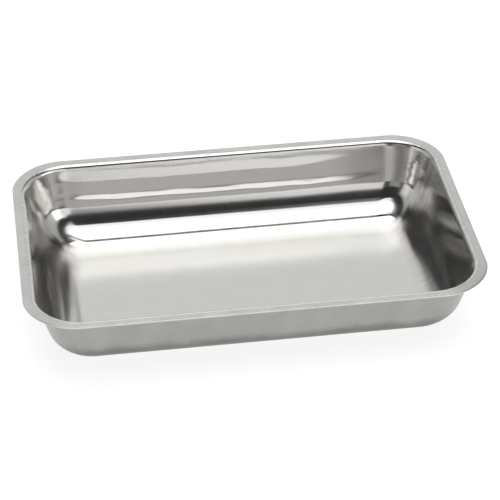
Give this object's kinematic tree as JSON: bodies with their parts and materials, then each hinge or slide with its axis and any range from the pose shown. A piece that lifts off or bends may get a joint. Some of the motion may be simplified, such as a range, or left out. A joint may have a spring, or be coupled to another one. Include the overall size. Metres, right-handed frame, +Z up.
{
  "type": "instrument tray",
  "caption": "Rectangular deep-drawn stainless steel instrument tray with drafted walls, a wide bottom radius, round corners and a flat rim band.",
  "frame": {"origin": "middle of the underside, on the surface that the tray stands on", "axes": "+X along the tray's length, +Y across it, +Z up out of its mouth"},
  "size_m": [0.31, 0.202, 0.051],
  "materials": {
    "polished_steel": "stainless steel, mirror-polished inside and satin outside",
    "satin_steel": "stainless steel with a fine satin finish"
  },
  "bodies": {
    "root": {"drawn_bowl": "polished_steel", "rim_band": "satin_steel"}
  },
  "joints": []
}
